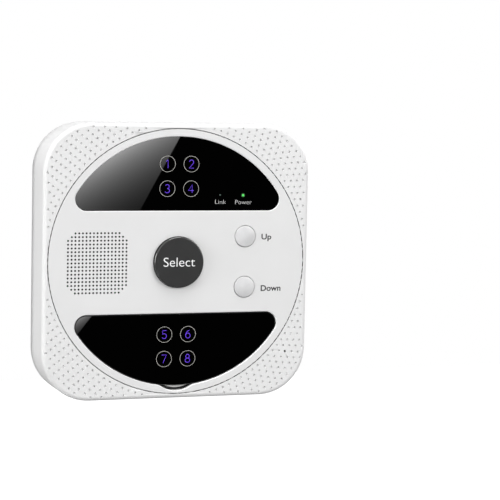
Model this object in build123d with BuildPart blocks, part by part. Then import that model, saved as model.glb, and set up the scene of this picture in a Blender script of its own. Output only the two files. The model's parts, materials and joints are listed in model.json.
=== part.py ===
"""Wall-mounted eight-zone irrigation controller, about 161 mm square and 40 mm deep.

Frame: +Z up, +X to the right of someone facing the front, +Y into the wall.
The origin is the centre of the flat wall face. A height h is the distance in front of the wall,
so it lies at y = -h, and a sketch on front_plane(h) has x to the right and its own y upwards.
"""

from build123d import *
import os

os.makedirs("parts", exist_ok=True)

# Casing, mm
SIZE = 161.0
DEPTH = 40.0
CORNER_R = 28.5
FRONT_EDGE_R = 2.5
REAR_EDGE_R = 11.0
PART_LINE = 5.5
WALL = 2.7
FRONT_T = 2.5
SHELL_FRONT = DEPTH - FRONT_T
COVER_T = 2.5
COVER_WALL_HALF = 74.0
COVER_WALL_R = 22.5
RABBET_HALF = 77.5
RABBET_R = 25.5
RABBET_T = 2.0
RABBET_TOP = 9.0
PILLAR_AT = 60.0
PILLAR_R = 3.5
PILLAR_FOOT = 9.0
THREAD_R = 1.5
THREAD_TOP = 20.0
COUNTERBORE_R = 3.0
COUNTERBORE_T = 1.9

# Round faceplate and the shell's seat for it
DISC_R = 77.4
DISC_GAP = 0.5
LEDGE_R = 75.9
LEDGE_T = 2.0
LEDGE_W = 4.0
LUG_AT = (67.5, 22.0)
LUG_W = 8.0
LUG_HOLE_R = 1.3
SMALL_THREAD_R = 1.1
BOSS_R = 2.6

# Display window, above, and terminal door, below: discs cut by a straight edge
WINDOW_EDGE = 29.8
WINDOW_R = 73.15
DOOR_EDGE = 30.3
DOOR_R = 73.15
WINDOW_CORNER_R = 7.0
WINDOW_BEVEL = 0.4
WINDOW_RECESS = 0.35
LENS_GAP = 0.12
LENS_FLANGE = 1.8
LENS_FLANGE_T = 1.5
NOTCH_R = 16.0
NOTCH_LOW = 76.0
NOTCH_BLEND = 8.0

# Terminal door and its hinge, whose axis runs through the door's mid plane
DOOR_GAP = 0.3
PANEL_T = 1.5
PANEL_BEVEL = 0.35
CARRIER_T = 1.5
HINGE_H = DEPTH - WINDOW_RECESS - PANEL_T
HINGE_Z = -(DOOR_EDGE + WINDOW_CORNER_R)
PIN_R = 0.9
PIN_BORE_R = 0.96
PIN_FROM = 55.0
PIN_TO = 63.8
PIN_EYE_X = 62.8
PIN_EYE_SIZE = (3.6, 5.0)
PIN_EYE_T = 2.0
LIP_R = 17.0
LIP_LOW = 74.2
DOOR_MAGNET_AT = (18.5, -66.3)
MAGNET_R = 2.5
MAGNET_T = 1.2

# Zone digits: two rows of two in each window
DIGIT_PITCH = 14.4
DIGIT_MID = 49.93
LIGHT_WELL_R = 5.0
STATUS_LIGHTS = ((25.1, 39.1), (39.3, 38.9))

# Buttons
SELECT_AT = (0.0, -0.2)
SELECT_R = 14.9
SELECT_EDGE_R = 0.6
SELECT_FRONT = 42.5
SELECT_GAP = 0.3
STEP_AT = ((41.0, 14.7), (41.0, -15.3))
STEP_R = 6.2
STEP_FRONT = 41.3
STEP_DOME = 0.8
STEP_GAP = 0.35
STEP_EDGE_R = 0.45
BUTTON_WALL = 1.5
BUTTON_SKIN = 2.0
BUTTON_STEM_R = 2.2
BUTTON_FLANGE = 1.7
FLANGE_TOP = SHELL_FRONT - 0.3
BUTTON_REAR = 35.2
RESET_AT = (67.6, -54.5)
RESET_HOLE_R = 0.7
RESET_SKIN = 1.0
RESET_TUBE_R = 3.2
RESET_BORE_R = 1.6
RESET_ROD_R = 1.52
RESET_TUBE_FOOT = 14.0

# Speaker and its grille
SPEAKER_AT = (-48.6, -0.2)
SPEAKER_R = 20.0
GRILLE_PITCH = 2.161
GRILLE_ROWS = 17
GRILLE_HOLE_R = 0.58
GRILLE_HALF = 18.6
GRILLE_CORNER_CUT = 5.4
GRILLE_WEB = 0.9
GRILLE_RIM = 0.6

# Circuit boards
MAIN_H = 9.0
BOARD_T = 1.6
MAIN_TOP = MAIN_H + BOARD_T
FRONT_BOARD_H = 29.0
FRONT_BOARD_TOP = FRONT_BOARD_H + BOARD_T
LENS_REAR = SHELL_FRONT - LENS_FLANGE_T
TOWER_TOP = 30.4
BOARD_POST_AT = (62.0, 48.0)
POST_R = 3.0
POST_THREAD_R = 1.2
POST_THREAD_FOOT = 3.0
POST_SCREW_TIP = 4.0
BOARD_HOLE_R = 1.35

# Wiring compartment behind the door
TRAY_FLOOR = 12.0
TRAY_FOOT_R = 2.8
CABLE_GAP_TOP = -48.5
TRAY_FLOOR_T = 1.5
TRAY_TOP = 35.2
TRAY_IN = 1.2
TRAY_WALL = 1.5
TERMINALS = 7
TERMINAL_PITCH = 5.0
TERMINAL_MID = 34.5
TERMINAL_Z = -42.0
TERMINAL_SIZE = (35.0, 8.0, 10.0)
TRAY_SCREW_AT = (57.0, -37.0)
WALL_SCREW_AT = (44.0, -52.0)
WALL_SCREW_R = 2.25
WALL_BOSS_R = 4.2
WALL_BOSS_TOP = 4.5
CABLE_AT = (27.0, -60.0)
GROMMET_HOLE_R = 7.0
GROMMET_BORE_R = 5.5
GROMMET_FLANGE_R = 8.4
GROMMET_FLANGE_T = 1.2
GROMMET_REAR = 0.6
KEYHOLE_Z = 57.5
KEYHOLE_RISE = 8.0
KEYHOLE_ENTRY_R = 4.6
KEYHOLE_NECK_R = 2.3


def front_plane(h):
    """The plane parallel to the wall, h in front of it."""
    return Plane.XZ.offset(h)


def mirrored(spot):
    """A spot and its mirror image in the centre line."""
    return [(-spot[0], spot[1]), spot]


def four(spot):
    """The four mirror images of a spot."""
    return [(sx * spot[0], sz * spot[1]) for sx in (-1, 1) for sz in (-1, 1)]


def save(piece, name):
    """Labels a finished piece and writes it as its own file."""
    piece.part.label = name
    export_step(piece.part, f"parts/{name}.step")


def cylinders(spots, radius, low, high, mode=Mode.ADD):
    """Round bars parallel to Y, from height low to height high, at each spot."""
    with BuildSketch(front_plane(low)) as rounds:
        with Locations(*spots):
            Circle(radius)
    extrude(rounds.sketch, amount=high - low, mode=mode)


def blocks(spots, width, tall, low, high, mode=Mode.ADD, rotation=0):
    """Rectangular blocks from height low to height high, centred on each spot."""
    with BuildSketch(front_plane(low)) as oblongs:
        with Locations(*spots):
            Rectangle(width, tall, rotation=rotation)
    extrude(oblongs.sketch, amount=high - low, mode=mode)


def segment(side, edge, rim_r, grow=0.0):
    """A window's outline: the disc beyond a straight edge, above (side 1) or below (side -1),
    with rounded corners, and grown all round by an allowance."""
    with BuildSketch() as outline:
        Circle(rim_r + grow)
        with Locations((0, side * (edge - grow + rim_r))):
            Rectangle(3 * rim_r, 2 * rim_r, mode=Mode.INTERSECT)
        rows = outline.vertices().group_by(Axis.Y)
        fillet(rows[0] if side > 0 else rows[-1], WINDOW_CORNER_R + grow)
    return outline.sketch


def display_outline(grow=0.0):
    return segment(1, WINDOW_EDGE, WINDOW_R, grow)


def door_outline(grow=0.0):
    return segment(-1, DOOR_EDGE, DOOR_R, grow)


def envelope():
    """The casing's outer form as one solid: rounded square, small front edge, large rear edge."""
    with BuildPart() as body:
        with BuildSketch(front_plane(0)):
            RectangleRounded(SIZE, SIZE, CORNER_R)
        extrude(amount=DEPTH)
        fillet(body.faces().sort_by(Axis.Y)[0].edges(), FRONT_EDGE_R)
        fillet(body.faces().sort_by(Axis.Y)[-1].edges(), REAR_EDGE_R)
    return body.part


def turned(spot, *profiles):
    """Solids of revolution about the line parallel to Y through a spot. Each profile is a closed
    run of (radius, height) corners."""
    for corners in profiles:
        with BuildSketch(Plane.XY.offset(spot[1])) as face:
            with BuildLine():
                Polyline(*[(spot[0] + r, -h) for r, h in corners], close=True)
            make_face()
        revolve(face.sketch, axis=Axis((spot[0], 0, spot[1]), (0, 1, 0)))


def hinge_bars(radius, inner, outer, mode=Mode.ADD):
    """Two bars on the door's hinge axis, one at each side."""
    for low in (-outer, inner):
        with BuildSketch(Plane.YZ.offset(low)) as end:
            with Locations((-HINGE_H, HINGE_Z)):
                Circle(radius)
        extrude(end.sketch, amount=outer - inner, mode=mode)


# A screw's cross recess, as fractions of the head's radius and thickness
CROSS_LENGTH = 1.3
CROSS_WIDTH = 0.3
CROSS_DEPTH = 0.45


def screws(name, spots, seat, tip, head_r, head_t, shank_r):
    """Pan-head screws with a cross recess. The head stands on the seat, away from the tip."""
    out = 1 if seat > tip else -1
    crown = seat + out * head_t
    with BuildPart() as group:
        cylinders(spots, head_r, min(seat, crown), max(seat, crown))
        cylinders(spots, shank_r, min(seat, tip), max(seat, tip))
        recess = crown - out * CROSS_DEPTH * head_t
        for turn in (0, 90):
            blocks(
                spots,
                CROSS_LENGTH * head_r,
                CROSS_WIDTH * head_r,
                min(recess, crown),
                max(recess, crown),
                mode=Mode.SUBTRACT,
                rotation=turn,
            )
    save(group, name)


# ---------------------------------------------------------------- casing

PILLARS_AT = four((PILLAR_AT, PILLAR_AT))
BOARD_SCREWS_AT = mirrored(BOARD_POST_AT)
TRAY_SCREWS_AT = mirrored(TRAY_SCREW_AT)

with BuildPart() as front_shell:
    add(envelope())
    split(bisect_by=front_plane(PART_LINE), keep=Keep.TOP)
    with BuildSketch(front_plane(PART_LINE)):
        RectangleRounded(SIZE - 2 * WALL, SIZE - 2 * WALL, CORNER_R - WALL)
    extrude(amount=SHELL_FRONT - PART_LINE, mode=Mode.SUBTRACT)
    cylinders([(0, 0)], LEDGE_R + LEDGE_W, SHELL_FRONT - LEDGE_T, SHELL_FRONT)
    blocks(
        four((LUG_AT[0] + LUG_W / 2, LUG_AT[1])),
        2 * LUG_W,
        LUG_W,
        SHELL_FRONT - 2 * LEDGE_T,
        SHELL_FRONT - LEDGE_T,
    )
    cylinders(PILLARS_AT, PILLAR_R, PILLAR_FOOT, SHELL_FRONT)
    cylinders([RESET_AT], RESET_TUBE_R, RESET_TUBE_FOOT, SHELL_FRONT)
    cylinders([RESET_AT], RESET_BORE_R, RESET_TUBE_FOOT, DEPTH - RESET_SKIN, mode=Mode.SUBTRACT)
    cylinders([RESET_AT], RESET_HOLE_R, SHELL_FRONT, DEPTH, mode=Mode.SUBTRACT)
    cylinders([(0, 0)], LEDGE_R, SHELL_FRONT - LEDGE_T, DEPTH, mode=Mode.SUBTRACT)
    cylinders([(0, 0)], DISC_R + DISC_GAP, SHELL_FRONT, DEPTH, mode=Mode.SUBTRACT)
    cylinders(
        four(LUG_AT), LUG_HOLE_R, SHELL_FRONT - 2 * LEDGE_T, SHELL_FRONT - LEDGE_T, mode=Mode.SUBTRACT
    )
    cylinders(PILLARS_AT, THREAD_R, PILLAR_FOOT, THREAD_TOP, mode=Mode.SUBTRACT)
save(front_shell, "front_shell")

with BuildPart() as back_cover:
    add(envelope())
    split(bisect_by=front_plane(PART_LINE), keep=Keep.BOTTOM)
    with BuildSketch(front_plane(COVER_T)):
        RectangleRounded(2 * COVER_WALL_HALF, 2 * COVER_WALL_HALF, COVER_WALL_R)
    extrude(amount=PART_LINE - COVER_T, mode=Mode.SUBTRACT)
    with BuildSketch(front_plane(PART_LINE)):
        RectangleRounded(2 * RABBET_HALF, 2 * RABBET_HALF, RABBET_R)
        offset(amount=-RABBET_T, mode=Mode.SUBTRACT)
    extrude(amount=RABBET_TOP - PART_LINE)
    cylinders(PILLARS_AT, PILLAR_R, COVER_T, PILLAR_FOOT - 0.3)
    cylinders(TRAY_SCREWS_AT + BOARD_SCREWS_AT, POST_R, COVER_T, MAIN_H)
    cylinders(mirrored(WALL_SCREW_AT), WALL_BOSS_R, COVER_T, WALL_BOSS_TOP)
    cylinders(PILLARS_AT, THREAD_R, 0, PILLAR_FOOT, mode=Mode.SUBTRACT)
    cylinders(PILLARS_AT, COUNTERBORE_R, 0, COUNTERBORE_T, mode=Mode.SUBTRACT)
    cylinders(
        TRAY_SCREWS_AT + BOARD_SCREWS_AT, POST_THREAD_R, POST_THREAD_FOOT, MAIN_H, mode=Mode.SUBTRACT
    )
    cylinders(mirrored(WALL_SCREW_AT), WALL_SCREW_R, 0, WALL_BOSS_TOP, mode=Mode.SUBTRACT)
    cylinders(mirrored(CABLE_AT), GROMMET_HOLE_R, 0, COVER_T, mode=Mode.SUBTRACT)
    cylinders([(0, KEYHOLE_Z)], KEYHOLE_ENTRY_R, 0, COVER_T, mode=Mode.SUBTRACT)
    with BuildSketch(front_plane(0)):
        with Locations((0, KEYHOLE_Z + KEYHOLE_RISE / 2)):
            SlotCenterToCenter(KEYHOLE_RISE, 2 * KEYHOLE_NECK_R, rotation=90)
    extrude(amount=COVER_T, mode=Mode.SUBTRACT)
save(back_cover, "back_cover")

screws("cover_screws", PILLARS_AT, COUNTERBORE_T, THREAD_TOP - 2, 2.8, 1.5, THREAD_R)

with BuildPart() as cable_grommets:
    cylinders(mirrored(CABLE_AT), GROMMET_HOLE_R, GROMMET_REAR, COVER_T)
    cylinders(mirrored(CABLE_AT), GROMMET_FLANGE_R, COVER_T, COVER_T + GROMMET_FLANGE_T)
    cylinders(mirrored(CABLE_AT), GROMMET_BORE_R, 0, COVER_T + GROMMET_FLANGE_T, mode=Mode.SUBTRACT)
save(cable_grommets, "cable_grommets")

# ---------------------------------------------------------------- faceplate

BOARD_THREAD_R = 0.9
FRONT_BOARD_POSTS = ((-20.0, 22.0), (-20.0, -21.0), (57.0, 24.0), (57.0, -23.0))
GRILLE_STEPS = range(-(GRILLE_ROWS // 2), GRILLE_ROWS // 2 + 1)
GRILLE_HOLES = [
    (SPEAKER_AT[0] + i * GRILLE_PITCH, SPEAKER_AT[1] + j * GRILLE_PITCH)
    for i in GRILLE_STEPS
    for j in GRILLE_STEPS
    if abs(i) + abs(j) <= GRILLE_ROWS - 3
]


def grille_outline(inset=0.0):
    """The grille's outline: a square with its corners cut off, drawn in by an inset."""
    with BuildSketch() as outline:
        with Locations(SPEAKER_AT):
            Rectangle(2 * GRILLE_HALF, 2 * GRILLE_HALF)
        chamfer(outline.vertices(), GRILLE_CORNER_CUT)
        offset(amount=-inset, kind=Kind.INTERSECTION)
    return outline.sketch


with BuildPart() as faceplate:
    cylinders([(0, 0)], DISC_R, SHELL_FRONT, DEPTH)
    blocks(mirrored((PIN_EYE_X, HINGE_Z)), *PIN_EYE_SIZE, SHELL_FRONT - PIN_EYE_T, SHELL_FRONT)
    cylinders(FRONT_BOARD_POSTS, BOSS_R, FRONT_BOARD_TOP, SHELL_FRONT)
    cylinders(four(LUG_AT), BOSS_R, SHELL_FRONT - LEDGE_T, SHELL_FRONT)
    with BuildSketch(front_plane(SHELL_FRONT - PIN_EYE_T)) as openings:
        add(door_outline())
        with Locations((0, NOTCH_R - NOTCH_LOW)):
            Circle(NOTCH_R)
        fillet(openings.vertices().group_by(Axis.Y)[0], NOTCH_BLEND)
        add(display_outline())
    extrude(amount=FRONT_T + PIN_EYE_T, mode=Mode.SUBTRACT)
    chamfer(faceplate.faces().sort_by(Axis.Y)[0].inner_wires().edges(), WINDOW_BEVEL)
    with BuildSketch(front_plane(SHELL_FRONT)):
        add(grille_outline())
    extrude(amount=FRONT_T, mode=Mode.SUBTRACT)
    cylinders([SELECT_AT], SELECT_R + SELECT_GAP, SHELL_FRONT, DEPTH, mode=Mode.SUBTRACT)
    cylinders(STEP_AT, STEP_R + STEP_GAP, SHELL_FRONT, DEPTH, mode=Mode.SUBTRACT)
    cylinders(FRONT_BOARD_POSTS, BOARD_THREAD_R, FRONT_BOARD_TOP, SHELL_FRONT, mode=Mode.SUBTRACT)
    cylinders(
        four(LUG_AT), SMALL_THREAD_R, SHELL_FRONT - LEDGE_T, SHELL_FRONT + 1, mode=Mode.SUBTRACT
    )
    hinge_bars(PIN_BORE_R, PIN_EYE_X - PIN_EYE_SIZE[0], PIN_TO + 0.3, mode=Mode.SUBTRACT)
save(faceplate, "faceplate")

screws(
    "faceplate_screws",
    four(LUG_AT),
    SHELL_FRONT - 2 * LEDGE_T,
    SHELL_FRONT + 1,
    2.3,
    1.4,
    SMALL_THREAD_R,
)

with BuildPart() as speaker_grille:
    with BuildSketch(front_plane(SHELL_FRONT)):
        add(grille_outline())
        with Locations(*GRILLE_HOLES):
            Circle(GRILLE_HOLE_R, mode=Mode.SUBTRACT)
    extrude(amount=FRONT_T)
    with BuildSketch(front_plane(SHELL_FRONT)):
        add(grille_outline(GRILLE_RIM))
    extrude(amount=FRONT_T - GRILLE_WEB, mode=Mode.SUBTRACT)
save(speaker_grille, "speaker_grille")

with BuildPart() as display_window:
    with BuildSketch(front_plane(LENS_REAR)):
        add(display_outline(LENS_FLANGE))
    extrude(amount=LENS_FLANGE_T)
    with BuildSketch(front_plane(SHELL_FRONT)):
        add(display_outline(-LENS_GAP))
    extrude(amount=FRONT_T - WINDOW_RECESS)
save(display_window, "display_window")

# ---------------------------------------------------------------- terminal door

DIGITS_LOW = [
    (sx * DIGIT_PITCH / 2, -DIGIT_MID + sz * DIGIT_PITCH / 2) for sx in (-1, 1) for sz in (-1, 1)
]
DIGITS_HIGH = [(x, z + 2 * DIGIT_MID) for x, z in DIGITS_LOW]

with BuildPart() as door_panel:
    with BuildSketch(front_plane(HINGE_H)):
        add(door_outline(-DOOR_GAP))
    extrude(amount=PANEL_T)
    chamfer(door_panel.faces().sort_by(Axis.Y)[0].edges(), PANEL_BEVEL)
    hinge_bars(PIN_R, PIN_FROM, PIN_TO, mode=Mode.SUBTRACT)
save(door_panel, "door_panel")

with BuildPart() as door_carrier:
    with BuildSketch(front_plane(HINGE_H - CARRIER_T)):
        add(door_outline(-DOOR_GAP))
        with Locations((0, LIP_R - LIP_LOW)):
            Circle(LIP_R)
    extrude(amount=CARRIER_T)
    cylinders(DIGITS_LOW, LIGHT_WELL_R, HINGE_H - CARRIER_T, HINGE_H, mode=Mode.SUBTRACT)
    cylinders(
        mirrored(DOOR_MAGNET_AT),
        MAGNET_R,
        HINGE_H - CARRIER_T,
        HINGE_H - CARRIER_T + MAGNET_T,
        mode=Mode.SUBTRACT,
    )
    hinge_bars(PIN_R, PIN_FROM, PIN_TO, mode=Mode.SUBTRACT)
save(door_carrier, "door_carrier")

with BuildPart() as hinge_pins:
    hinge_bars(PIN_R, PIN_FROM, PIN_TO)
save(hinge_pins, "hinge_pins")

with BuildPart() as door_magnets:
    low = HINGE_H - CARRIER_T
    cylinders(mirrored(DOOR_MAGNET_AT), MAGNET_R, low, low + MAGNET_T)
save(door_magnets, "door_magnets")

with BuildPart() as catch_magnets:
    cylinders(mirrored(DOOR_MAGNET_AT), MAGNET_R, TRAY_TOP - MAGNET_T, TRAY_TOP)
save(catch_magnets, "catch_magnets")

# ---------------------------------------------------------------- buttons

with BuildPart() as select_button:
    cylinders([SELECT_AT], SELECT_R, BUTTON_REAR, SELECT_FRONT)
    fillet(select_button.faces().sort_by(Axis.Y)[0].edges(), SELECT_EDGE_R)
    cylinders([SELECT_AT], SELECT_R + BUTTON_FLANGE, BUTTON_REAR, FLANGE_TOP)
    hollow_top = SELECT_FRONT - BUTTON_SKIN
    cylinders([SELECT_AT], SELECT_R - BUTTON_WALL, BUTTON_REAR, hollow_top, mode=Mode.SUBTRACT)
    cylinders([SELECT_AT], BUTTON_STEM_R, BUTTON_REAR, hollow_top)
save(select_button, "select_button")

STEP_DOME_R = (STEP_R**2 + STEP_DOME**2) / (2 * STEP_DOME)
for name, (x, z) in zip(("up_button", "down_button"), STEP_AT):
    with BuildPart() as step_button:
        cylinders([(x, z)], STEP_R, BUTTON_REAR, STEP_FRONT)
        with Locations((x, STEP_DOME_R - STEP_FRONT, z)):
            Sphere(STEP_DOME_R, mode=Mode.INTERSECT)
        fillet(step_button.edges().sort_by(Axis.Y)[0], STEP_EDGE_R)
        cylinders([(x, z)], STEP_R + BUTTON_FLANGE, BUTTON_REAR, FLANGE_TOP)
        hollow_top = STEP_FRONT - BUTTON_SKIN
        cylinders([(x, z)], STEP_R - BUTTON_WALL, BUTTON_REAR, hollow_top, mode=Mode.SUBTRACT)
        cylinders([(x, z)], BUTTON_STEM_R, BUTTON_REAR, hollow_top)
    save(step_button, name)

PLUNGER_R = 1.7
PLUNGER_FIT = 0.2
PLUNGER_SINK = 0.3
SWITCH_WIDTH = 6.0
SWITCH_WELL_T = 1.1
SWITCH_TOP = FRONT_BOARD_TOP + 3.4
for name, spot in zip(("select", "up", "down"), (SELECT_AT, *STEP_AT)):
    with BuildPart() as plunger:
        cylinders([spot], PLUNGER_R, SWITCH_TOP - PLUNGER_SINK, BUTTON_REAR)
    save(plunger, f"{name}_plunger")

with BuildPart() as button_switches:
    buttons_at = [SELECT_AT, *STEP_AT]
    blocks(buttons_at, SWITCH_WIDTH, SWITCH_WIDTH, FRONT_BOARD_TOP, SWITCH_TOP)
    cylinders(
        buttons_at, PLUNGER_R + PLUNGER_FIT, SWITCH_TOP - SWITCH_WELL_T, SWITCH_TOP, mode=Mode.SUBTRACT
    )
save(button_switches, "button_switches")

SPRING_R = 7.5
SPRING_WIRE_R = 0.35
SPRING_TURNS = 5
SPRING_EASE = 0.05
SPRING_FOOT = FRONT_BOARD_TOP + SPRING_WIRE_R + SPRING_EASE
SPRING_SPAN = SELECT_FRONT - BUTTON_SKIN - SPRING_WIRE_R - SPRING_EASE - SPRING_FOOT
with BuildPart() as select_spring:
    with BuildLine() as coil:
        Helix(
            SPRING_SPAN / SPRING_TURNS,
            SPRING_SPAN,
            SPRING_R,
            center=(SELECT_AT[0], -SPRING_FOOT, SELECT_AT[1]),
            direction=(0, -1, 0),
        )
    with BuildSketch(Plane(origin=coil.line @ 0, z_dir=coil.line % 0)):
        Circle(SPRING_WIRE_R)
    sweep(is_frenet=True)
save(select_spring, "select_spring")

RESET_SWITCH_TOP = MAIN_TOP + 2.0
RESET_SWITCH_WIDTH = 4.5
RESET_WELL_R = 1.0
RESET_WELL_FLOOR = MAIN_TOP + 0.6
RESET_PLUNGER_R = 0.85
RESET_ROD_REAR = RESET_SWITCH_TOP + 0.6
RESET_ROD_FRONT = DEPTH - RESET_SKIN - 0.3
with BuildPart() as reset_switch:
    blocks([RESET_AT], RESET_SWITCH_WIDTH, RESET_SWITCH_WIDTH, MAIN_TOP, RESET_SWITCH_TOP)
    cylinders([RESET_AT], RESET_WELL_R, RESET_WELL_FLOOR, RESET_SWITCH_TOP, mode=Mode.SUBTRACT)
save(reset_switch, "reset_switch")

with BuildPart() as reset_plunger:
    cylinders([RESET_AT], RESET_PLUNGER_R, RESET_WELL_FLOOR + 0.6, RESET_ROD_REAR)
save(reset_plunger, "reset_plunger")

with BuildPart() as reset_rod:
    cylinders([RESET_AT], RESET_ROD_R, RESET_ROD_REAR, RESET_ROD_FRONT)
save(reset_rod, "reset_rod")

# ---------------------------------------------------------------- front board and lights

BOARD_RIM_R = 70.5
with BuildPart() as front_board:
    with BuildSketch(front_plane(FRONT_BOARD_H)):
        with Locations((0, 45)):
            Rectangle(100, 38)
        Circle(BOARD_RIM_R, mode=Mode.INTERSECT)
        with Locations((19, 1)):
            Rectangle(86, 54)
        with Locations(*FRONT_BOARD_POSTS):
            Circle(1.0, mode=Mode.SUBTRACT)
    extrude(amount=BOARD_T)
save(front_board, "front_board")

screws(
    "front_board_screws",
    FRONT_BOARD_POSTS,
    FRONT_BOARD_H,
    SHELL_FRONT - 1,
    2.0,
    1.4,
    BOARD_THREAD_R,
)

GUIDE_WIDTH = 25.0
GUIDE_TALL = 26.0
with BuildPart() as display_light_guide:
    blocks([(0, DIGIT_MID)], GUIDE_WIDTH, GUIDE_TALL, FRONT_BOARD_TOP, LENS_REAR)
    cylinders(DIGITS_HIGH, LIGHT_WELL_R, FRONT_BOARD_TOP, LENS_REAR, mode=Mode.SUBTRACT)
save(display_light_guide, "display_light_guide")

with BuildPart() as door_light_guide:
    blocks([(0, -DIGIT_MID)], GUIDE_WIDTH, GUIDE_TALL - 0.4, MAIN_TOP, TOWER_TOP)
    cylinders(DIGITS_LOW, LIGHT_WELL_R, MAIN_TOP, TOWER_TOP, mode=Mode.SUBTRACT)
save(door_light_guide, "door_light_guide")

ZONE_LED = (3.0, 2.8)
ZONE_LED_T = 0.9
STATUS_LED = (1.6, 0.9)
STATUS_LED_T = 0.8
STATUS_PIPE_R = 1.0
with BuildPart() as zone_leds:
    blocks(DIGITS_HIGH, *ZONE_LED, FRONT_BOARD_TOP, FRONT_BOARD_TOP + ZONE_LED_T)
    blocks(DIGITS_LOW, *ZONE_LED, MAIN_TOP, MAIN_TOP + ZONE_LED_T)
save(zone_leds, "zone_leds")

with BuildPart() as status_leds:
    blocks(STATUS_LIGHTS, *STATUS_LED, FRONT_BOARD_TOP, FRONT_BOARD_TOP + STATUS_LED_T)
save(status_leds, "status_leds")

with BuildPart() as status_light_pipes:
    cylinders(STATUS_LIGHTS, STATUS_PIPE_R, FRONT_BOARD_TOP + STATUS_LED_T, LENS_REAR)
save(status_light_pipes, "status_light_pipes")

# ---------------------------------------------------------------- speaker

BASKET_FRONT = SHELL_FRONT - 1.5
BASKET_RIM_REAR = BASKET_FRONT - 1.2
BASKET_IN_R = 16.6
MAGNET_REAR = 21.0
MAGNET_FRONT = 27.5
POLE_R = 10.6
CONE_T = 0.5
with BuildPart() as speaker_frame:
    turned(
        SPEAKER_AT,
        [
            (BASKET_IN_R, BASKET_RIM_REAR),
            (SPEAKER_R, BASKET_RIM_REAR),
            (SPEAKER_R, BASKET_FRONT),
            (BASKET_IN_R, BASKET_FRONT),
        ],
        [
            (9.0, MAGNET_FRONT),
            (11.5, MAGNET_FRONT),
            (18.4, BASKET_RIM_REAR),
            (17.2, BASKET_RIM_REAR + 0.2),
            (10.9, MAGNET_FRONT + 1.1),
            (9.0, MAGNET_FRONT + 1.1),
        ],
    )
save(speaker_frame, "speaker_frame")

with BuildPart() as speaker_magnet:
    cylinders([SPEAKER_AT], POLE_R - 0.6, MAGNET_REAR, MAGNET_FRONT - 1.2)
    cylinders([SPEAKER_AT], POLE_R, MAGNET_FRONT - 1.2, MAGNET_FRONT)
save(speaker_magnet, "speaker_magnet")

with BuildPart() as speaker_cone:
    turned(
        SPEAKER_AT,
        [
            (0, 33.0),
            (5, 31.4),
            (16.0, 35.3),
            (16.0, BASKET_FRONT),
            (SPEAKER_R, BASKET_FRONT),
            (SPEAKER_R, BASKET_FRONT + CONE_T),
            (15.5, BASKET_FRONT + CONE_T),
            (5, 31.4 + CONE_T),
            (0, 33.0 + CONE_T),
        ],
    )
save(speaker_cone, "speaker_cone")

with BuildPart() as speaker_gasket:
    cylinders([SPEAKER_AT], SPEAKER_R, BASKET_FRONT + CONE_T, SHELL_FRONT)
    cylinders(
        [SPEAKER_AT], BASKET_IN_R + 0.6, BASKET_FRONT + CONE_T, SHELL_FRONT, mode=Mode.SUBTRACT
    )
save(speaker_gasket, "speaker_gasket")

# ---------------------------------------------------------------- main board

with BuildPart() as main_board:
    with BuildSketch(front_plane(MAIN_H)):
        with Locations((2, 3)):
            Rectangle(140, 102)
        with Locations((0, -57)):
            Rectangle(27, 20)
        with Locations((68.2, -53)):
            Rectangle(7.6, 10)
        with Locations(*BOARD_SCREWS_AT, *TRAY_SCREWS_AT):
            Circle(BOARD_HOLE_R, mode=Mode.SUBTRACT)
    extrude(amount=BOARD_T)
save(main_board, "main_board")

screws("board_screws", BOARD_SCREWS_AT, MAIN_TOP, POST_SCREW_TIP, 2.4, 1.6, POST_THREAD_R)

WIRE_HOLES = {
    side: [
        (side * TERMINAL_MID + (i - (TERMINALS - 1) / 2) * TERMINAL_PITCH, TERMINAL_Z)
        for i in range(TERMINALS)
    ]
    for side in (-1, 1)
}
BLOCK_TOP = MAIN_TOP + TERMINAL_SIZE[2]
SCREW_WELL_R = 1.95
MOUTH_LOW = MAIN_TOP + 1.6
MOUTH_HIGH = MAIN_TOP + 5.8
for name, side in (("left", -1), ("right", 1)):
    with BuildPart() as terminal_block:
        blocks([(side * TERMINAL_MID, TERMINAL_Z)], *TERMINAL_SIZE[:2], MAIN_TOP, BLOCK_TOP)
        chamfer(terminal_block.faces().sort_by(Axis.Y)[0].edges().filter_by(Axis.X), 1.0)
        cylinders(WIRE_HOLES[side], SCREW_WELL_R, MAIN_TOP + 4, BLOCK_TOP, mode=Mode.SUBTRACT)
        mouths = [(x, z - 2) for x, z in WIRE_HOLES[side]]
        blocks(mouths, 3.4, 6.0, MOUTH_LOW, MOUTH_HIGH, mode=Mode.SUBTRACT)
    save(terminal_block, f"terminal_block_{name}")

ALL_WIRE_HOLES = WIRE_HOLES[-1] + WIRE_HOLES[1]
CAGE_WALL = 0.5
with BuildPart() as terminal_clamps:
    cages = [(x, z - 0.9) for x, z in ALL_WIRE_HOLES]
    blocks(cages, 3.2, 3.6, MOUTH_LOW + 0.1, MOUTH_HIGH - 0.1)
    blocks(
        cages,
        3.2 - 2 * CAGE_WALL,
        3.6,
        MOUTH_LOW + 0.1 + CAGE_WALL,
        MOUTH_HIGH - 0.3 - CAGE_WALL,
        mode=Mode.SUBTRACT,
    )
save(terminal_clamps, "terminal_clamps")

HEAD_REAR = BLOCK_TOP - 3
HEAD_FRONT = BLOCK_TOP - 1
SLOT_T = 0.7
with BuildPart() as terminal_screws:
    cylinders(ALL_WIRE_HOLES, 1.2, MOUTH_HIGH - 0.1, HEAD_REAR)
    cylinders(ALL_WIRE_HOLES, SCREW_WELL_R - 0.1, HEAD_REAR, HEAD_FRONT)
    blocks(
        ALL_WIRE_HOLES, 2 * SCREW_WELL_R, 0.55, HEAD_FRONT - SLOT_T, HEAD_FRONT, mode=Mode.SUBTRACT
    )
save(terminal_screws, "terminal_screws")

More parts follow.
